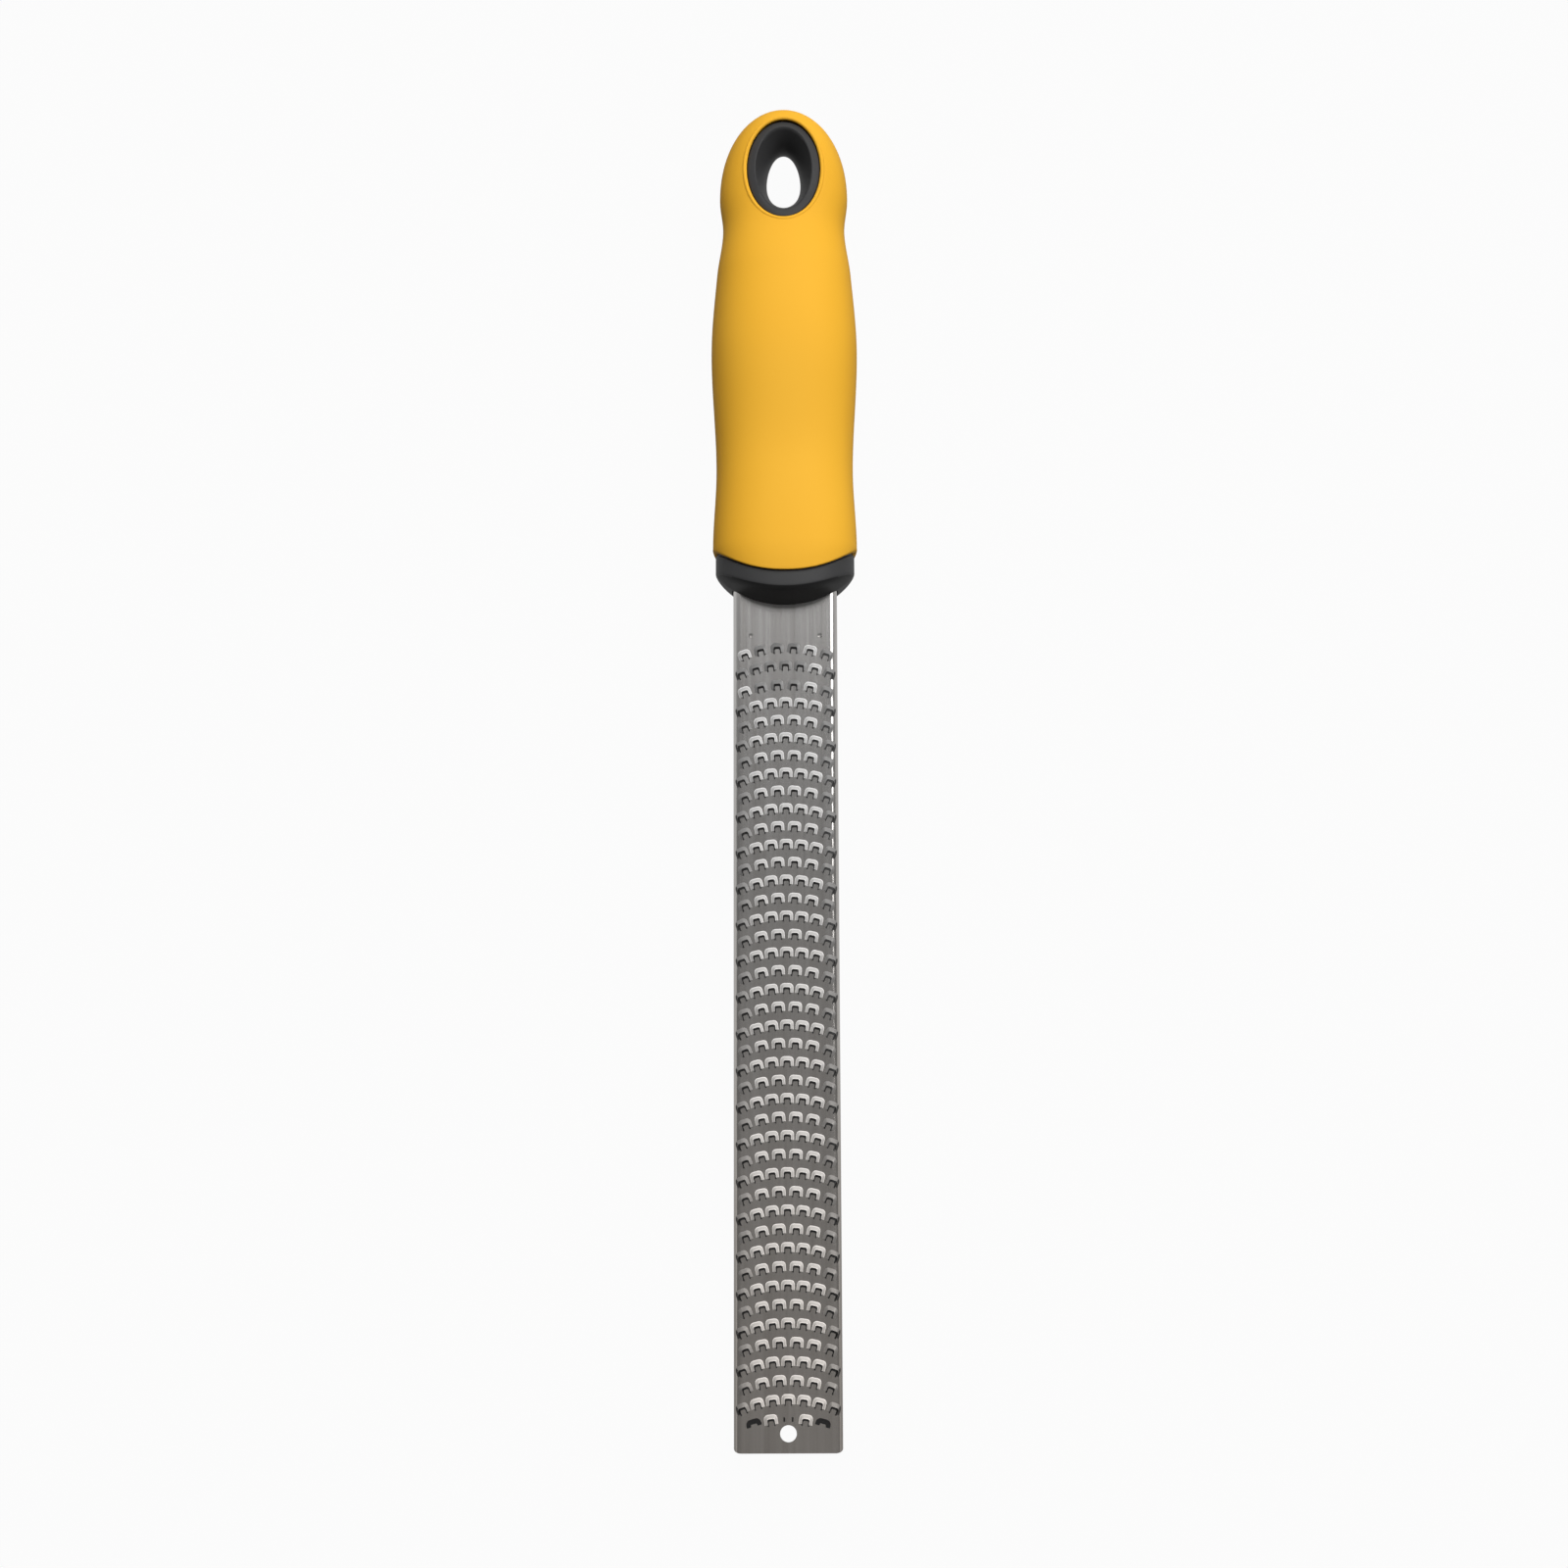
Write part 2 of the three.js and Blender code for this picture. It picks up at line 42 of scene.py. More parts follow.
# Tool frame in millimetres: X across, Y from the ferrule's nose to the eye, Z out of the toothed face
rest = {"tilt": 2.253731, "noseY": 37.08194, "faceZ": 14.93821, "millimetre": 0.001}
layDown = (
    Matrix.Scale(rest["millimetre"], 4)
    @ Matrix.Translation((0, rest["noseY"], rest["faceZ"]))
    @ Matrix.Rotation(math.radians(rest["tilt"]), 4, "X")
)


# Shader nodes

def addNode(tree, kind, settings=None, **values):
    node = tree.nodes.new(kind)
    for key, value in (settings or {}).items():
        setattr(node, key, value)
    for key, value in values.items():
        node.inputs[key].default_value = value
    return node


def feed(tree, socket, value):  # a fixed value or another node's socket
    if isinstance(value, bpy.types.NodeSocket):
        tree.links.new(value, socket)
    else:
        socket.default_value = value


def mathNode(tree, operation, *values):
    node = addNode(tree, "ShaderNodeMath", {"operation": operation})
    for socket, value in zip(node.inputs, values):
        feed(tree, socket, value)
    return node.outputs[0]


def vectorNode(tree, operation, place, fixed):
    node = addNode(tree, "ShaderNodeVectorMath", {"operation": operation})
    for socket, value in zip(node.inputs, (place, fixed)):
        feed(tree, socket, value)
    return node.outputs["Value"]


def blendLevels(tree, factor, first, second):
    mix = addNode(tree, "ShaderNodeMix", {"data_type": "FLOAT"})
    for name, value in (("Factor", factor), ("A", first), ("B", second)):
        feed(tree, mix.inputs[name], value)
    return mix.outputs["Result"]


def blendColours(tree, factor, first, second, how="MIX"):
    mix = addNode(tree, "ShaderNodeMix", {"data_type": "RGBA", "blend_type": how})
    tree.links.new(factor, mix.inputs["Factor"])
    for name, value in (("A", first), ("B", second)):
        feed(tree, mix.inputs[name], value + (1,) if isinstance(value, tuple) else value)
    return mix.outputs["Result"]


def mapRange(tree, value, source, target, how):
    node = addNode(tree, "ShaderNodeMapRange", {"interpolation_type": how})
    for name, number in zip(("From Min", "From Max", "To Min", "To Max"), source + target):
        node.inputs[name].default_value = number
    tree.links.new(value, node.inputs["Value"])
    return node.outputs["Result"]


def ramp(tree, value, span):  # 0 at the start of the span and 1 at its end, eased
    return mapRange(tree, value, span, (0, 1), "SMOOTHSTEP")


def placeAxes(tree, source="Object"):  # sockets of the place and of its X, Y and Z
    coords = addNode(tree, "ShaderNodeTexCoord")
    split = addNode(tree, "ShaderNodeSeparateXYZ")
    tree.links.new(coords.outputs[source], split.inputs[0])
    return coords.outputs[source], split.outputs


def glossSees(tree, path):  # 1 for what gloss and glass see
    return mathNode(tree, "MAXIMUM", path.outputs["Is Glossy Ray"], path.outputs["Is Transmission Ray"])


# Making pieces

closeness = {"weld": 1e-4, "level": 1e-5}  # millimetres under which points are one, or at one height


def quarter(cuts):  # angles from 0 to a right angle
    return [math.pi / 2 * k / cuts for k in range(cuts + 1)]


def grow(bm, loop, points, closed=True):  # extrudes a chain of vertices and puts the new ones in place
    ends = loop[1:] + loop[:1] if closed else loop[1:]
    edges = [bm.edges.get(pair) for pair in zip(loop, ends)]
    made = bmesh.ops.extrude_edge_only(bm, edges=edges)["geom"]
    fresh = {item for item in made if isinstance(item, bmesh.types.BMVert)}
    moved = [next(e.other_vert(v) for e in v.link_edges if e.other_vert(v) in fresh) for v in loop]
    for vert, point in zip(moved, points):
        vert.co = point
    return moved


def startChain(bm, points, closed=True):
    chain = [bm.verts.new(point) for point in points]
    for pair in zip(chain, chain[1:] + chain[:1] if closed else chain[1:]):
        bm.edges.new(pair)
    return chain


def joinRings(rings, looped=False):  # rings of equal count joined into one closed surface, or the last to the first
    bm = bmesh.new()
    first = loop = bmesh.ops.create_circle(bm, cap_ends=False, radius=1, segments=len(rings[0]))["verts"]
    for vert, point in zip(loop, rings[0]):
        vert.co = point
    for points in rings[1:]:
        loop = grow(bm, loop, points)
    if looped:
        grow(bm, loop, rings[0])
    else:
        bm.faces.new(first)
        bm.faces.new(loop)
    bmesh.ops.remove_doubles(bm, verts=bm.verts[:], dist=closeness["weld"])
    bmesh.ops.recalc_face_normals(bm, faces=bm.faces[:])
    return bm


def toMesh(bm, name):
    mesh = bpy.data.meshes.new(name)
    bm.to_mesh(mesh)
    bm.free()
    return mesh


def addObject(bm, name):
    made = bpy.data.objects.new(name, toMesh(bm, name))
    scene.collection.objects.link(made)
    return made


def cutAway(bm, tool):  # one closed mesh cut out of another
    body, cutter = addObject(bm, "cutBody"), addObject(tool, "cutTool")
    step = body.modifiers.new("cut", "BOOLEAN")
    step.operation = "DIFFERENCE"
    step.solver = "EXACT"
    step.object = cutter
    bpy.context.view_layer.update()
    result = bpy.data.meshes.new_from_object(body.evaluated_get(bpy.context.evaluated_depsgraph_get()))
    left = bmesh.new()
    left.from_mesh(result)
    for thing in (body, cutter):
        bpy.data.objects.remove(thing)
    return left


def finishPiece(bm, name, looks, node, crisp=40.0):  # edges bent by more than crisp degrees stay sharp
    bm.transform(layDown)
    for face in bm.faces:
        face.smooth = True
    for edge in bm.edges:
        if edge.is_manifold and edge.calc_face_angle() > math.radians(crisp):
            edge.smooth = False
    piece = addObject(bm, name)
    for look in looks:
        piece.data.materials.append(finishes[look])
    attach(piece, "root")
    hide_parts(node)
    print("made", name, len(piece.data.polygons), "faces")


# Camera, light and floor

shot = {
    "aim": (-0.46, -44.8, 0), "distance": 0.7458, "lean": 11.4, "roll": -0.22,
    "lens": 70.74, "sensor": 36, "nearest": 0.01,
}


def placeCamera():
    lean = math.radians(shot["lean"] + rest["tilt"])
    data = bpy.data.cameras.new("photoCamera")
    data.lens = shot["lens"]
    data.sensor_width = shot["sensor"]
    data.clip_start = shot["nearest"]
    camera = bpy.data.objects.new("photoCamera", data)
    camera.location = layDown @ Vector(shot["aim"]) + shot["distance"] * Vector((0, -math.sin(lean), math.cos(lean)))
    turn = Matrix.Rotation(lean, 3, "X") @ Matrix.Rotation(math.radians(shot["roll"]), 3, "Z")
    camera.rotation_euler = turn.to_euler()
    scene.collection.objects.link(camera)
    scene.camera = camera


sky = {
    "white": 1.0,  # to the camera
    "overhead": 0.155, "tip": 0.18, "tipSpan": (0.0, -0.06),  # what polished steel sees, lighter towards the tip
    "glow": 0.42, "glowFrom": (0.195, 0.228), "glowTo": (0.33, 0.45),  # the band that the plain strip mirrors
    "low": 0.50, "lowFrom": (-0.20, 0.08), "lowTo": (0.22, 0.40),  # pale behind the tool, up to the dark ceiling
    "topLight": 2.45, "ambient": 0.03, "topSpan": (0.62, 0.98), "topAxis": (0.19, 0.40, 0.90),  # on matt surfaces
}


def hangSky():  # the room: white to the camera, a dark ceiling to gloss, soft light from above to matt surfaces
    world = bpy.data.worlds.new("studioRoom")
    scene.world = world
    world.use_nodes = True
    tree = world.node_tree
    background = tree.nodes["Background"]
    background.inputs["Color"].default_value = (1, 1, 1, 1)
    place, axes = placeAxes(tree, "Generated")
    overhead = blendLevels(tree, ramp(tree, axes["Y"], sky["tipSpan"]), sky["overhead"], sky["tip"])
    overhead = blendLevels(tree, ramp(tree, axes["Y"], sky["glowFrom"]), overhead, sky["glow"])
    overhead = blendLevels(tree, ramp(tree, axes["Y"], sky["glowTo"]), overhead, sky["overhead"])
    low = blendLevels(tree, ramp(tree, axes["Y"], sky["lowFrom"]), sky["overhead"], sky["low"])
    seen = blendLevels(tree, ramp(tree, axes["Z"], sky["lowTo"]), low, overhead)
    facing = vectorNode(tree, "DOT_PRODUCT", place, sky["topAxis"])
    fill = blendLevels(tree, ramp(tree, facing, sky["topSpan"]), sky["ambient"], sky["topLight"])
    path = addNode(tree, "ShaderNodeLightPath")
    level = blendLevels(tree, glossSees(tree, path), fill, seen)
    level = blendLevels(tree, path.outputs["Is Camera Ray"], level, sky["white"])
    tree.links.new(level, background.inputs["Strength"])


lampPower = 4  # watts for each square metre of a lamp whose glow is 1
softboxes = {  # level side and sloping side in metres, middle, brightness of the face
    "keyRight": {"size": (0.38, 0.73), "spot": (0.55, 0.360, 0.84), "glow": 2.0},
    "backLow": {"size": (0.50, 0.64), "spot": (-0.02, 0.98, 0.69), "glow": 0.52},
    "backHigh": {"size": (0.37, 0.44), "spot": (-0.02, 0.591, 1.044), "glow": 1.7},
}


def hangLamps():
    for name, box in softboxes.items():
        lamp = bpy.data.lights.new(name, "AREA")
        lamp.shape = "RECTANGLE"
        lamp.size, lamp.size_y = box["size"]
        lamp.energy = box["glow"] * lampPower * box["size"][0] * box["size"][1]
        holder = bpy.data.objects.new(name, lamp)
        holder.location = box["spot"]
        holder.rotation_euler = Vector(box["spot"]).to_track_quat("Z", "Y").to_euler()
        scene.collection.objects.link(holder)


floorSize = {
    "half": 4.0, "white": 0.96, "bounce": 0.20,  # brightness to the camera and to light
    "mirrored": 0.42, "mirroredTip": 0.12, "tipSpan": (-0.04, -0.16),  # to gloss, with a painted shadow that darkens the paper towards the tip
    "dark": 0.10, "glimpse": 0.012,  # painted shade: darker paper to light and to the camera, under the teeth
    "shade": (0.0, -0.0515), "shadeHalf": (0.0126, 0.110), "shadeFade": (0.058, 0.031),  # the painted shade fades out under the ferrule
    "tipSpot": (0.0, -0.16125, 0.0), "tipClear": 0.0021,  # white paper seen through the tip's hole, kept free of the painted shade
}


def paintedShadeUnderTeeth(tree):  # 1 where shade is painted on the paper that only the teeth look down on
    place, axes = placeAxes(tree)
    shade = ramp(tree, axes["Y"], floorSize["shadeFade"])
    for axis, middle, half in zip("XY", floorSize["shade"], floorSize["shadeHalf"]):
        shade = mathNode(tree, "MULTIPLY", shade, mathNode(tree, "COMPARE", axes[axis], middle, half))
    away = vectorNode(tree, "DISTANCE", place, floorSize["tipSpot"])
    return mathNode(tree, "MULTIPLY", shade, mathNode(tree, "GREATER_THAN", away, floorSize["tipClear"]))


def layFloor():
    bm = bmesh.new()
    bmesh.ops.create_grid(bm, x_segments=2, y_segments=2, size=floorSize["half"])
    floor = addObject(bm, "studioFloor")
    paper = bpy.data.materials.new("whitePaper")
    paper.use_nodes = True
    tree = paper.node_tree
    tree.nodes.remove(tree.nodes["Principled BSDF"])
    # painted shade: under the teeth the paper is darker to light and nearly black to the camera
    paintedShadeMask = paintedShadeUnderTeeth(tree)
    soft = addNode(tree, "ShaderNodeBsdfDiffuse")
    tone = blendColours(tree, paintedShadeMask, (floorSize["bounce"],) * 3, (floorSize["dark"],) * 3)
    tree.links.new(tone, soft.inputs["Color"])
    path = addNode(tree, "ShaderNodeLightPath")
    axes = placeAxes(tree)[1]
    # painted shadow: to gloss the paper darkens towards the tip
    mirrored = blendLevels(
        tree, ramp(tree, axes["Y"], floorSize["tipSpan"]), floorSize["mirrored"], floorSize["mirroredTip"]
    )
    mirrored = mathNode(tree, "MULTIPLY", glossSees(tree, path), mirrored)
    direct = mathNode(tree, "MULTIPLY", path.outputs["Is Camera Ray"], floorSize["white"])
    glimpse = mathNode(tree, "MULTIPLY", path.outputs["Is Camera Ray"], floorSize["glimpse"])
    share = blendLevels(tree, paintedShadeMask, mathNode(tree, "MAXIMUM", direct, mirrored), glimpse)
    bright = addNode(tree, "ShaderNodeEmission", Color=(1, 1, 1, 1), Strength=1.0)
    mix = addNode(tree, "ShaderNodeMixShader")
    for socket, value in zip(mix.inputs, (share, soft.outputs[0], bright.outputs[0])):
        tree.links.new(value, socket)
    tree.links.new(mix.outputs[0], tree.nodes["Material Output"].inputs["Surface"])
    floor.data.materials.append(paper)


# Finishes

surfaces = {  # the socket of the fixed amount, two noises as scale and detail, height and strength of the relief
    "steel": {
        "socket": "Metallic", "cloud": ((620, 9, 60), 3.0), "grain": ((4200, 24, 160), 4.0), "relief": (0.000004, 0.12),
    },
    "softTouch": {
        "socket": "Specular IOR Level", "cloud": ((30, 18, 30), 2.0), "grain": ((3600, 3600, 3600), 2.0),
        "relief": (0.00003, 0.2),
    },
    "moulded": {
        "socket": "Specular IOR Level", "cloud": ((60, 60, 60), 2.0), "grain": ((4200, 4200, 4200), 3.0),
        "relief": (0.00003, 0.25),
    },
}
finishLooks = {  # surface, dark tone, light tone, roughness, amount of metal or shine
    "etchedSteel": ("steel", (0.64, 0.62, 0.60), (0.76, 0.745, 0.73), (0.13, 0.18), 1.0),
    "frostedSteel": ("steel", (0.52, 0.514, 0.508), (0.59, 0.584, 0.578), (0.40, 0.50), 0.3),
    # a painted highlight: a lighter finish on the hoods' outer edges
    "paintedHighlightEdge": ("steel", (0.80, 0.793, 0.786), (0.87, 0.864, 0.858), (0.40, 0.50), 0.15),
    # painted shade: a darker copy of the hood finish, for hoods that the light misses
    "paintedShadeSteel": ("steel", (0.33, 0.326, 0.322), (0.39, 0.386, 0.382), (0.40, 0.50), 0.75),
    # painted shadow: near-black steel on the outer leg of teeth on the fold
    "paintedShadowLegSteel": ("steel", (0.055, 0.054, 0.053), (0.075, 0.074, 0.073), (0.40, 0.50), 0.4),
    "pinSteel": ("steel", (0.55, 0.55, 0.54), (0.62, 0.62, 0.61), (0.13, 0.18), 1.0),
    "softTouchYellow": ("softTouch", (0.87, 0.445, 0.032), (0.90, 0.475, 0.040), (0.5, 0.62), 0.07),
    "satinBlack": ("moulded", (0.042, 0.042, 0.043), (0.050, 0.050, 0.051), (0.40, 0.50), 0.22),
    # painted shade: a darker black for the ferrule's faces that look forward
    "paintedShadeBlack": ("moulded", (0.017, 0.017, 0.017), (0.021, 0.021, 0.021), (0.40, 0.50), 0.15),
    "coreBlack": ("moulded", (0.035, 0.035, 0.036), (0.045, 0.045, 0.046), (0.40, 0.50), 0.22),
}
warmth = {"tint": (1.0, 0.95, 0.90), "span": (0.02, -0.17)}  # steel is warmer towards the tip
noiseLook = {"roughness": 0.55, "limits": (0.3, 0.7)}  # most of the noise is between the limits


def speckle(tree, scale, detail):  # noise on the piece's own coordinates, one scale for each axis
    coords = addNode(tree, "ShaderNodeTexCoord")
    place = addNode(tree, "ShaderNodeMapping", Scale=scale)
    noise = addNode(tree, "ShaderNodeTexNoise", Scale=1.0, Detail=detail, Roughness=noiseLook["roughness"])
    tree.links.new(coords.outputs["Object"], place.inputs["Vector"])
    tree.links.new(place.outputs["Vector"], noise.inputs["Vector"])
    return noise.outputs["Fac"]


def spread(tree, noise, span):  # noise stretched over a span
    return mapRange(tree, noise, noiseLook["limits"], span, "LINEAR")


def makeFinish(name):
    surface, dark, light, roughness, amount = finishLooks[name]
    look = surfaces[surface]
    finish = bpy.data.materials.new(name)
    finish.use_nodes = True
    tree = finish.node_tree
    shader = tree.nodes["Principled BSDF"]
    shader.inputs[look["socket"]].default_value = amount
    cloud, grain = speckle(tree, *look["cloud"]), speckle(tree, *look["grain"])
    tone = blendColours(tree, spread(tree, cloud, (0, 1)), dark, light)
    if surface == "steel":
        axes = placeAxes(tree)[1]
        tone = blendColours(tree, ramp(tree, axes["Y"], warmth["span"]), tone, warmth["tint"], "MULTIPLY")
    tree.links.new(tone, shader.inputs["Base Color"])
    tree.links.new(spread(tree, grain, roughness), shader.inputs["Roughness"])
    height, strength = look["relief"]
    bump = addNode(tree, "ShaderNodeBump", Strength=strength, Distance=height)
    tree.links.new(grain, bump.inputs["Height"])
    tree.links.new(bump.outputs["Normal"], shader.inputs["Normal"])
    return finish


# Blade

bladeSize = {
    "length": 203.2, "width": 25.4, "sheet": 0.45, "rail": 7.0, "foldRadius": 1.8, "foldCuts": 8, "tipRise": 1.2,
    "tipHole": 1.94, "tipHoleInset": 4.5, "tipHolePoints": 40, "channelEnd": 6.4,
    "tangHalf": 8.0, "tangLength": 52.0, "tangCorner": 2.0, "tangCuts": 4,
    "pinHole": 2.3, "pinInset": 16.0, "pinHolePoints": 24,
    "dimple": 0.6, "dimpleX": 8.4, "dimpleY": -7.8, "dimpleDeep": 0.26, "dimpleFloor": 0.4, "dimplePoints": 20,
    "finishes": ["etchedSteel", "frostedSteel", "paintedHighlightEdge", "paintedShadeSteel", "paintedShadowLegSteel"], "crisp": 32.0,
}
bladeSize["flatHalf"] = bladeSize["width"] / 2 - bladeSize["foldRadius"]
bladeSize["foldArc"] = bladeSize["foldRadius"] * math.pi / 2
bladeSize["blankHalf"] = bladeSize["flatHalf"] + bladeSize["foldArc"] + bladeSize["rail"] - bladeSize["foldRadius"]
bladeSize["tangEnd"] = bladeSize["channelEnd"] + bladeSize["tangLength"]

toothSize = {
    "rowPitch": 4.379, "firstRow": 11.3, "rows": 43, "rowRadius": 29.0, "firstRows": 2, "firstLift": 0.5,
    "wideCount": 6, "widePitch": 4.1, "closeCount": 7, "closePitch": 3.68,  # rows by turns
    "cornerCuts": 3, "outline": (1.58, 1.18, 0.92),  # half width, top and corner of the arch where the hood starts
    "hood": [  # the same for each line round the hood, and its height
        (1.46, 1.00, 0.82, 0.08),
        (0.97, 0.30, 0.46, 0.43),
        (0.87, 0.16, 0.40, 0.49),
        (0.95, 0.50, 0.42, 0.08),
    ],
    "under": (0.95, 0.60, 0.42), "foot": -1.17, "legFrom": 0.90, "legRise": (0.80, 0.97, 0.98, 0.99, 1.0, 1.0),
    "tongueHalf": 0.61, "tongueTop": -0.34, "tongueCorner": 0.22, "slotFoot": -1.50,
    "moon": (1.80, 1.05, 1.15, -0.70), "moonNotch": [(0.80, -0.70), (0.65, -0.15), (-0.65, -0.15), (-0.80, -0.70)],
    "paintedShadeFrom": 18.0, "paintedShadowLegFrom": 21.0,  # degrees round the row from which hoods get painted shade, and a painted shadow on the outer leg
    "paintedShadeRows": 3, "brightSpots": [(-25, -15), (8, 16)],  # the first rows get painted shade but for these degrees, which stay lit
    "slit": (0.77, 1.17, -0.77, 0.27),  # two slits mark the tooth left flat in the last row
}


def arch(half, top, corner, foot):
    turns = quarter(toothSize["cornerCuts"])
    bend = [(corner * (1 - math.cos(t)) - half, top - corner * (1 - math.sin(t))) for t in turns]
    left = [(-half, foot)] + bend
    return left + [(0, top)] + [(-x, y) for x, y in reversed(left)]


def hoodTooth(band, rim, paintedShadowSide=0):  # finishes of the sloping outside, and which leg gets a painted shadow
    size, sheet, looks = toothSize, bladeSize["sheet"], bladeSize["finishes"]
    rise = size["legRise"] + size["legRise"][-2::-1]
    bm = bmesh.new()
    lines = [startChain(bm, [(x, y, 0) for x, y in arch(*size["outline"], size["foot"])], closed=False)]
    for edge in bm.edges:
        edge.smooth = False  # keeps the sheet flat up to the hood
    for i, (half, top, corner, height) in enumerate(size["hood"]):
        heights = [height * share for share in rise]
        if i == len(size["hood"]) - 1:
            heights[0] = heights[-1] = 0.0
        points = [(x, y, h) for (x, y), h in zip(arch(half, top, corner, size["foot"]), heights)]
        lines.append(grow(bm, lines[-1], points, closed=False))
    for outer, inner, look in zip(lines, lines[1:], (rim, band, rim)):
        for pair in zip(inner, inner[1:]):
            crease = bm.edges.get(pair)
            crease.smooth = False
            for face in crease.link_faces:
                if any(vert in outer for vert in face.verts):
                    # faces of the outer leg take the near-black painted shadow
                    onLeg = paintedShadowSide * face.calc_center_median().x > size["legFrom"]
                    face.material_index = looks.index("paintedShadowLegSteel" if onLeg else look)
    low = [(x, y, -sheet) for x, y in arch(*size["under"], size["foot"])]
    bottom = grow(bm, lines[-1], low, closed=False)
    half, top, corner, foot = size["tongueHalf"], size["tongueTop"], size["tongueCorner"], size["slotFoot"]
    left = [(-half, foot), (-half, top - corner), (-half + corner, top)]
    tip = left + [(-x, y) for x, y in reversed(left)]
    tongue = startChain(bm, [(x, y, 0) for x, y in tip], closed=False)
    tongueLow = grow(bm, tongue, [(x, y, -sheet) for x, y in tip], closed=False)
    for end, side in ((0, -1), (-1, 1)):
        bm.faces.new([line[end] for line in lines])
        slotTop = bm.verts.new((side * size["under"][0], foot, 0))
        slotLow = bm.verts.new((side * size["under"][0], foot, -sheet))
        bm.faces.new([lines[-1][end], slotTop, slotLow, bottom[end]])
        bm.faces.new([slotTop, tongue[end], tongueLow[end], slotLow])
    return toMesh(bm, "hoodTooth")


def rowPlace(row, angle):  # from a tooth's own frame to its place round a row
    radius = toothSize["rowRadius"]
    return (
        Matrix.Translation((0, row - radius, 0))
        @ Matrix.Rotation(-angle, 4, "Z")
        @ Matrix.Translation((0, radius, 0))
    )


def throughHole(bm, points, place=Matrix.Identity(4)):
    spots = [place @ Vector((x, y, 0)) for x, y in points]
    loop = startChain(bm, spots)
    grow(bm, loop, [spot - Vector((0, 0, bladeSize["sheet"])) for spot in spots])


def circlePoints(x, y, radius, count):
    turns = [math.tau * i / count for i in range(count)]
    return [(x + radius * math.cos(t), y + radius * math.sin(t)) for t in turns]


def blankOutline():
    size = bladeSize
    flat, fold, wide = size["flatHalf"], size["foldArc"], size["blankHalf"]
    corner = [flat + fold * k / size["foldCuts"] for k in range(size["foldCuts"] + 1)]
    tip = [(x, size["tipRise"] * ((x - flat) / fold) ** 2 - size["length"]) for x in corner]
    half, end, cut = size["tangHalf"], size["tangEnd"], size["tangCorner"]
    right = tip + [(wide, size["tipRise"] - size["length"]), (wide, size["channelEnd"]), (half, size["channelEnd"])]
    turns = quarter(size["tangCuts"])
    right += [(half - cut + cut * math.cos(t), end - cut + cut * math.sin(t)) for t in turns]
    return right + [(-x, y) for x, y in reversed(right)]


def foldPoint(point):
    flat, radius = bladeSize["flatHalf"], bladeSize["foldRadius"]
    over = abs(point.x) - flat
    if over <= 0:
        return point
    turn = min(over / radius, math.pi / 2)
    reach = radius + point.z
    x = math.copysign(flat + reach * math.sin(turn), point.x)
    return Vector((x, point.y, reach * math.cos(turn) - radius - (over - turn * radius)))


def addHoods(bm):
    teeth = toothSize
    # the frosted hoods have a painted highlight on their edges
    frostedHighlightHood, paintedShadeHood = hoodTooth("frostedSteel", "paintedHighlightEdge"), hoodTooth("paintedShadeSteel", "paintedShadeSteel")
    leftHood, rightHood = (hoodTooth("paintedShadeSteel", "paintedShadeSteel", side) for side in (-1, 1))
    spots = []
    for i in range(teeth["rows"]):
        row = -teeth["firstRow"] - i * teeth["rowPitch"]
        if i < teeth["firstRows"]:
            row += teeth["firstLift"]
        if i == teeth["rows"] - 1:
            spots += [(i, row, side * teeth["widePitch"] / teeth["rowRadius"]) for side in (-1, 1)]
            continue
        kind = "close" if i % 2 else "wide"
        count, pitch = teeth[kind + "Count"], teeth[kind + "Pitch"]
        spots += [(i, row, (k - (count - 1) / 2) * pitch / teeth["rowRadius"]) for k in range(count)]
    for i, row, angle in spots:
        # hoods in the first rows, but for the lit spots, and far round each row get painted shade
        turned = math.degrees(angle)
        bright = any(low < turned < high for low, high in teeth["brightSpots"])
        if i >= teeth["paintedShadeRows"]:
            bright = abs(turned) < teeth["paintedShadeFrom"]
        hood = frostedHighlightHood if bright else paintedShadeHood
        # the outermost hoods also get a painted shadow on their outer leg
        if abs(turned) > teeth["paintedShadowLegFrom"]:
            hood = rightHood if turned > 0 else leftHood
        bm.from_mesh(hood)
        bm.verts.ensure_lookup_table()
        bmesh.ops.transform(bm, matrix=rowPlace(row, angle), verts=bm.verts[-len(hood.vertices):])


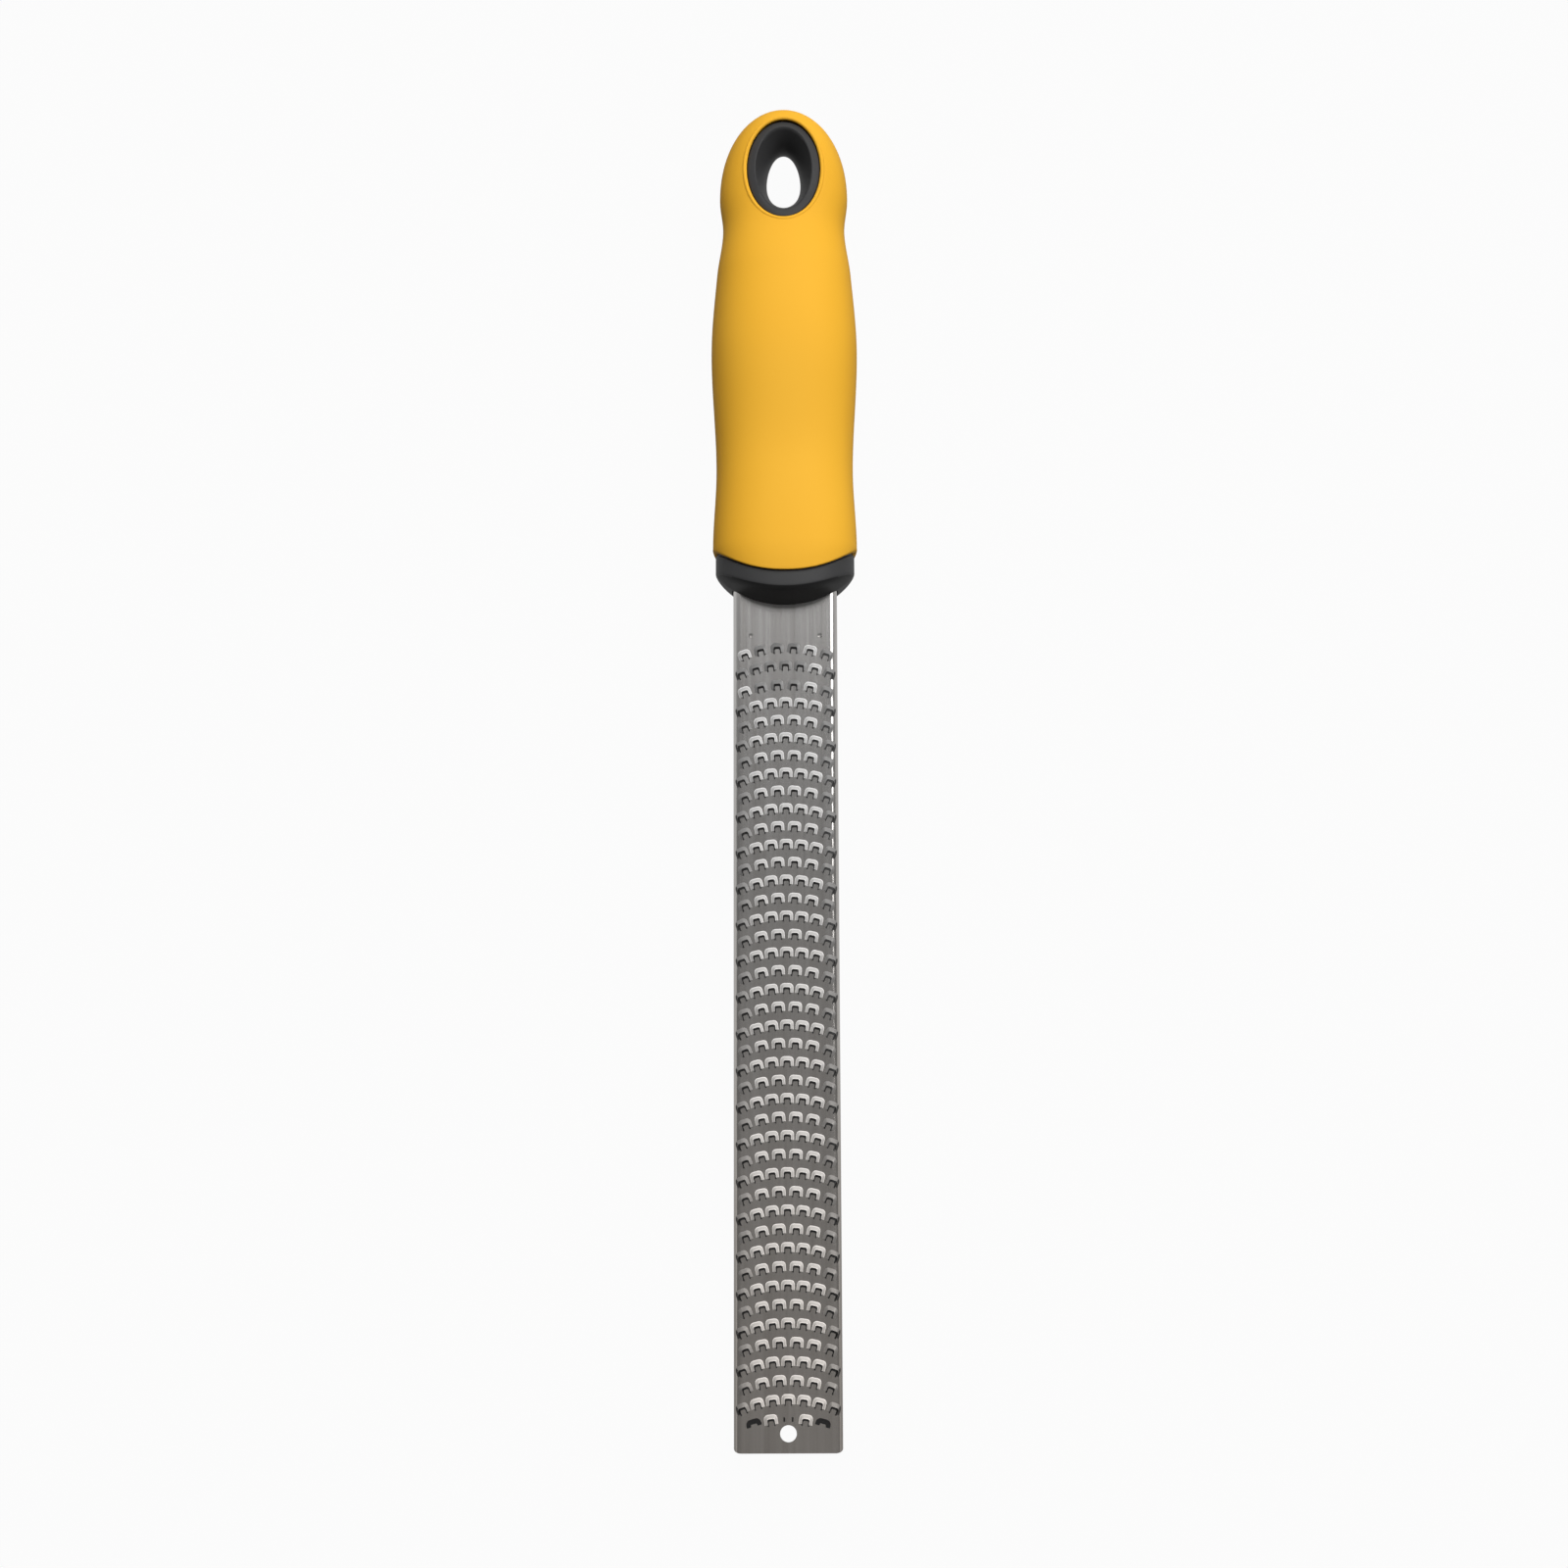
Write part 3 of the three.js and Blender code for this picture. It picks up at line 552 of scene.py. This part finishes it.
def makeBlade():
    size, teeth = bladeSize, toothSize
    bm = bmesh.new()
    addHoods(bm)
    lastRow = -teeth["firstRow"] - (teeth["rows"] - 1) * teeth["rowPitch"]
    for side in (-1, 1):  # the last row ends in plain half-moon openings
        moon = arch(*teeth["moon"]) + teeth["moonNotch"]
        throughHole(bm, moon, rowPlace(lastRow, side * 2 * teeth["widePitch"] / teeth["rowRadius"]))
        near, far, low, high = teeth["slit"]
        throughHole(bm, [(side * x, y + lastRow) for x, y in ((near, low), (far, low), (far, high), (near, high))])
    tipHoleY = size["tipHoleInset"] - size["length"]
    throughHole(bm, circlePoints(0, tipHoleY, size["tipHole"], size["tipHolePoints"]))
    for y in (size["channelEnd"] + size["pinInset"], size["tangEnd"] - size["pinInset"]):
        throughHole(bm, circlePoints(0, y, size["pinHole"], size["pinHolePoints"]))
    for side in (-1, 1):  # two shallow round marks on the plain strip
        spot = (side * size["dimpleX"], size["dimpleY"])
        outer = circlePoints(*spot, size["dimple"], size["dimplePoints"])
        inner = circlePoints(*spot, size["dimple"] * size["dimpleFloor"], size["dimplePoints"])
        rim = startChain(bm, [(x, y, 0) for x, y in outer])
        bm.faces.new(grow(bm, rim, [(x, y, -size["dimpleDeep"]) for x, y in inner]))
    throughHole(bm, blankOutline())
    level = closeness["level"]
    for height in (0, -size["sheet"]):
        rim = [e for e in bm.edges if len(e.link_faces) == 1 and all(abs(v.co.z - height) < level for v in e.verts)]
        bmesh.ops.triangle_fill(bm, edges=rim, use_beauty=True)
    print("open edges in the blank", sum(not e.is_manifold for e in bm.edges))
    for k in range(size["foldCuts"] + 1):
        for side in (-1, 1):
            place = side * (size["flatHalf"] + size["foldArc"] * k / size["foldCuts"])
            geom = bm.verts[:] + bm.edges[:] + bm.faces[:]
            bmesh.ops.bisect_plane(bm, geom=geom, dist=level, plane_co=(place, 0, 0), plane_no=(1, 0, 0))
    for vert in bm.verts:
        vert.co = foldPoint(vert.co)
    bmesh.ops.recalc_face_normals(bm, faces=bm.faces[:])
    finishPiece(bm, "blade_sheet", size["finishes"], "blade", size["crisp"])


# Handle

handleSize = {
    "stations": [  # along, width, depth
        (14.5, 35.6, 26.0), (34.3, 33.9, 25.8), (64.8, 36.4, 31.0),
        (85.4, 33.6, 27.6), (97.4, 30.6, 23.6), (105.5, 32.2, 23.0),
    ],
    "end": 128.9, "middle": -2.0, "power": 2.2, "endAcross": 2.1, "endDeep": 2.8, "points": 112,
    "setIn": 0.06,  # keeps the finer skin inside the solid
    "ferruleStep": 0.75, "joint": 12.6, "jointDip": 7.0, "groove": 0.5, "lip": 1.4,
}
handleSize["ferruleDeep"] = handleSize["stations"][0][2] / 2 - handleSize["ferruleStep"]
handleSize["ferruleWide"] = handleSize["stations"][0][1] / 2 - handleSize["ferruleStep"]


def stationValue(part, y):  # smooth curve through the stations, level where the handle is widest or narrowest
    stations = handleSize["stations"]
    if y <= stations[0][0]:
        return stations[0][part]
    i = next(n for n, station in enumerate(stations) if station[0] >= y)

    def slope(n):
        if n in (0, len(stations) - 1):
            return 0
        rising, leaving = stations[n][part] - stations[n - 1][part], stations[n + 1][part] - stations[n][part]
        return (rising + leaving) / (stations[n + 1][0] - stations[n - 1][0]) if rising * leaving > 0 else 0

    start, stop = stations[i - 1], stations[i]
    span = stop[0] - start[0]
    t = (y - start[0]) / span
    bend = t * (1 - t) * ((1 - t) * slope(i - 1) - t * slope(i)) * span
    return start[part] + (stop[part] - start[part]) * t * t * (3 - 2 * t) + bend


def handleHalves(y, inset):
    bulge = handleSize["stations"][-1][0]
    inset += handleSize["setIn"]
    wide, deep = (stationValue(part, min(y, bulge)) / 2 - inset for part in (1, 2))
    if y > bulge:
        share = min((y - bulge) / (handleSize["end"] - bulge - inset), 1)
        wide *= (1 - share ** handleSize["endAcross"]) ** (1 / handleSize["endAcross"])
        deep *= (1 - share ** handleSize["endDeep"]) ** (1 / handleSize["endDeep"])
    return wide, deep


def section(wide, deep):  # x and height of a squarish oval
    def rounded(value):
        return math.copysign(abs(value) ** (2 / handleSize["power"]), value)

    turns = [math.tau * i / handleSize["points"] for i in range(handleSize["points"])]
    return [(wide * rounded(math.cos(t)), deep * rounded(math.sin(t))) for t in turns]


def flareSection(inset):  # at the ferrule's end of the grip
    flare = handleSize["stations"][0]
    return section(flare[1] / 2 - inset, flare[2] / 2 - inset)


def handleRing(y, inset):
    return [(x, y, handleSize["middle"] + h) for x, h in section(*handleHalves(y, inset))]


def jointAt(height):
    return handleSize["joint"] - handleSize["jointDip"] * (height / handleSize["ferruleDeep"]) ** 2


def jointRing(inset, ahead):  # a ring that follows the curved joint between ferrule and grip
    return [(x, jointAt(h) + ahead, handleSize["middle"] + h) for x, h in flareSection(inset)]


def surfaceAt(x, y):  # height of the handle's face above its middle
    wide, deep = handleHalves(y, 0)
    return deep * max(1 - abs(x / wide) ** handleSize["power"], 0) ** (1 / handleSize["power"])


eyeSize = {
    "middle": 110.45, "halfWide": 9.0, "halfLong": 13.35, "rim": 2.0, "waistWide": 4.2, "waistLong": 7.85, "egg": 0.14,
    "points": 112, "gap": 0.15, "recess": 0.45, "farRecess": 0.9, "edge": 0.3, "edgeShare": 0.3, "skirt": 4.0,
    "rimShares": (0.55, 0.86), "mouthDrop": 0.2, "funnelRings": 14, "finish": "satinBlack",
    "lipRadius": 0.55, "lipSink": 0.38, "lipPoints": 16,  # the grip's rolled edge round the eye
}


def eyeOval(wide, long):
    turns = [math.tau * i / eyeSize["points"] for i in range(eyeSize["points"])]
    return [(wide * math.cos(t), eyeSize["middle"] + long * math.sin(t)) for t in turns]


gripSize = {
    "wall": 2.7, "edge": 1.15, "spanRings": 72, "domeRings": 26, "poleGap": 0.4, "lipRings": 7,
    "insideSpans": 24, "insideDomes": 12, "cutReach": 40, "finish": "softTouchYellow",
}


def makeGrip():
    size, handle, eye = gripSize, handleSize, eyeSize
    flare, bulge = handle["stations"][0][0], handle["stations"][-1][0]

    def along(inset, spans, domes):
        steps = [flare + (bulge - flare) * k / spans for k in range(spans + 1)]
        dome = handle["end"] - bulge - inset
        steps += [bulge + dome * math.sin(math.pi / 2 * (k + 1) / (domes + size["poleGap"])) for k in range(domes)]
        return [handleRing(y, inset) for y in steps]

    inside = along(size["wall"], size["insideSpans"], size["insideDomes"])[::-1]
    inside.append(jointRing(size["wall"], handle["groove"]))
    lip = []
    for turn in quarter(size["lipRings"])[:-1]:
        ahead = handle["groove"] + handle["lip"] * (1 - math.cos(turn))
        lip.append(jointRing(size["edge"] * (1 - math.sin(turn)), ahead))
    grip = joinRings(inside + lip + along(0, size["spanRings"], size["domeRings"]))
    room = eye["gap"] + eye["lipRadius"]
    oval = eyeOval(eye["halfWide"] + room, eye["halfLong"] + room)
    bm = cutAway(grip, joinRings([[(x, y, h) for x, y in oval] for h in (-size["cutReach"], size["cutReach"])]))
    for side in (-1, 1):  # rolled edge round both mouths of the eye
        rolls = []
        for k in range(eye["lipPoints"]):
            turn = math.tau * k / eye["lipPoints"]
            out = eye["lipRadius"] * math.cos(turn)
            rise = eye["lipRadius"] * math.sin(turn) - eye["lipSink"]
            ring = eyeOval(eye["halfWide"] + room + out, eye["halfLong"] + room + out)
            heights = [handle["middle"] + side * (surfaceAt(*spot) + rise) for spot in oval]
            rolls.append([(x, y, h) for (x, y), h in zip(ring, heights)])
        bm.from_mesh(toMesh(joinRings(rolls, looped=True), "roll"))
    finishPiece(bm, "grip_skin", [size["finish"]], "grip_sleeve")


def makeHangRing():
    eye, handle = eyeSize, handleSize
    mouths = (eye["halfWide"] - eye["rim"], eye["halfLong"] - eye["rim"])

    def level(inset, drop):  # a line on the rim's face, set in from the ring's outside and sunk below the grip
        oval = eyeOval(eye["halfWide"] - inset, eye["halfLong"] - inset)
        far = [max((y - eye["middle"]) / eye["halfLong"], 0) * eye["farRecess"] for x, y in oval]
        return [(x, y, surfaceAt(x, y) - drop - deeper) for (x, y), deeper in zip(oval, far)]

    front = [level(0, eye["recess"] + eye["skirt"]), level(0, eye["recess"] + eye["edge"])]
    bevel = eye["edge"] * eye["edgeShare"]
    front += [level(bevel, eye["recess"] + bevel), level(eye["edge"], eye["recess"])]
    front += [level(eye["rim"] * share, eye["recess"]) for share in eye["rimShares"]]
    mouth = level(eye["rim"], eye["recess"] + eye["mouthDrop"])
    for k in range(eye["funnelRings"] + 1):
        share = 1 - k / eye["funnelRings"]
        wide = math.hypot(eye["waistWide"], math.sqrt(mouths[0] ** 2 - eye["waistWide"] ** 2) * share)
        long = math.hypot(eye["waistLong"], math.sqrt(mouths[1] ** 2 - eye["waistLong"] ** 2) * share)
        lean = eye["egg"] * (1 - share) / long  # the throat is narrower towards the end of the handle
        oval = [(x * (1 - lean * (y - eye["middle"])), y) for x, y in eyeOval(wide, long)]
        front.append([(x, y, top[2] * share) for (x, y), top in zip(oval, mouth)])
    back = [[(x, y, -h) for x, y, h in ring] for ring in reversed(front[:-1])]
    rings = [[(x, y, handle["middle"] + h) for x, y, h in ring] for ring in front + back]
    finishPiece(joinRings(rings, looped=True), "eye_liner", [eye["finish"]], "hang_ring")


ferruleSize = {
    "noseRadius": 24.0, "noseFront": 1.5, "noseBack": 1.5, "noseMiddle": 0.03, "noseRings": 14,
    "edge": 0.17, "edgeRound": 1.0, "edgeRings": 10, "bandRings": 6, "bandGap": 0.5,
    "bevel": [(0, -0.25), (0.08, -0.08), (0.25, 0)],  # set in and along, at the joint
    "collarInset": 1.35, "collarLong": 0.42, "insideInset": 3.1, "insideFloor": 6.7,
    "slotRoom": 0.3, "slotCuts": 8, "slotSpan": (-20, 30),
    "finishes": ["satinBlack", "paintedShadeBlack"], "noseFacing": -0.55,  # faces that look further forward get painted shade, a darker black
}


def bladeSlot():  # the blade's channel with room round it
    size, blade = ferruleSize, bladeSize
    radius, flat, room = blade["foldRadius"], blade["flatHalf"], size["slotRoom"]
    outer, inward, bottom = radius + room, radius - blade["sheet"] - room, -blade["rail"] - room
    turns = quarter(size["slotCuts"])
    right = [(flat + inward, bottom), (flat + outer, bottom)]
    right += [(flat + outer * math.cos(t), outer * math.sin(t) - radius) for t in turns]
    under = [(flat + inward * math.cos(t), inward * math.sin(t) - radius) for t in turns]
    profile = right + [(-x, h) for x, h in reversed(right)] + [(-x, h) for x, h in under] + under[::-1]
    return joinRings([[(x, y, h) for x, h in profile] for y in size["slotSpan"]])


def makeFerrule():
    size, handle = ferruleSize, handleSize
    deep, middle = handle["ferruleDeep"], handle["middle"]
    outside = section(handle["ferruleWide"], deep)

    def noseAt(x, h):
        over = h + middle  # from the toothed face
        bow = size["noseRadius"] - math.sqrt(size["noseRadius"] ** 2 - x ** 2)
        if over > 0:
            return bow + size["noseFront"] * over / (deep + middle)
        return bow + size["noseBack"] * (over / (deep - middle)) ** 2

    def noseRing(share):
        over = max(share - 1 + size["edge"], 0) / size["edge"]
        back = size["edgeRound"] * (1 - math.sqrt(max(1 - over ** 2, 0)))
        spots = [(x * share, h * share) for x, h in outside]
        return [(x, noseAt(x, h) + back, middle + h) for x, h in spots]

    start, count = size["noseMiddle"], size["noseRings"]
    shares = [start + (1 - size["edge"] - start) * k / count for k in range(count + 1)]
    shares += [1 - size["edge"] + size["edge"] * math.sin(turn) for turn in quarter(size["edgeRings"])[1:]]
    rings = [noseRing(share) for share in shares]
    edge, joint = rings[-1], jointRing(handle["ferruleStep"], 0)
    for k in range(size["bandRings"]):
        t = (k + 1) / (size["bandRings"] + size["bandGap"])
        rings.append([Vector(a).lerp(Vector(b), t) for a, b in zip(edge, joint)])
    rings += [jointRing(handle["ferruleStep"] + inset, ahead) for inset, ahead in size["bevel"]]
    rings += [jointRing(size["collarInset"], ahead) for ahead in (0, size["collarLong"])]
    rings.append(jointRing(size["insideInset"], size["collarLong"]))
    rings.append([(x, size["insideFloor"], middle + h) for x, h in flareSection(size["insideInset"])])
    bm = cutAway(joinRings(rings), bladeSlot())
    bm.normal_update()
    # painted shade on the nose's forward faces
    for face in bm.faces:
        if face.normal.y < size["noseFacing"]:
            face.material_index = size["finishes"].index("paintedShadeBlack")
    finishPiece(bm, "ferrule_cap", size["finishes"], "ferrule")


# Putting it together

placeCamera()
hangSky()
hangLamps()
layFloor()
print("stage set")

finishes = {name: makeFinish(name) for name in finishLooks}
print("made", len(finishes), "finishes")
makeBlade()
makeGrip()
makeHangRing()
makeFerrule()

innerFinishes = {
    "core_front_half": "coreBlack", "core_back_half": "coreBlack",
    "tang_pin_blade_end": "pinSteel", "tang_pin_eye_end": "pinSteel",
}
for name, look in innerFinishes.items():
    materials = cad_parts[name].data.materials
    materials.clear()
    materials.append(finishes[look])
print("inner pieces finished")
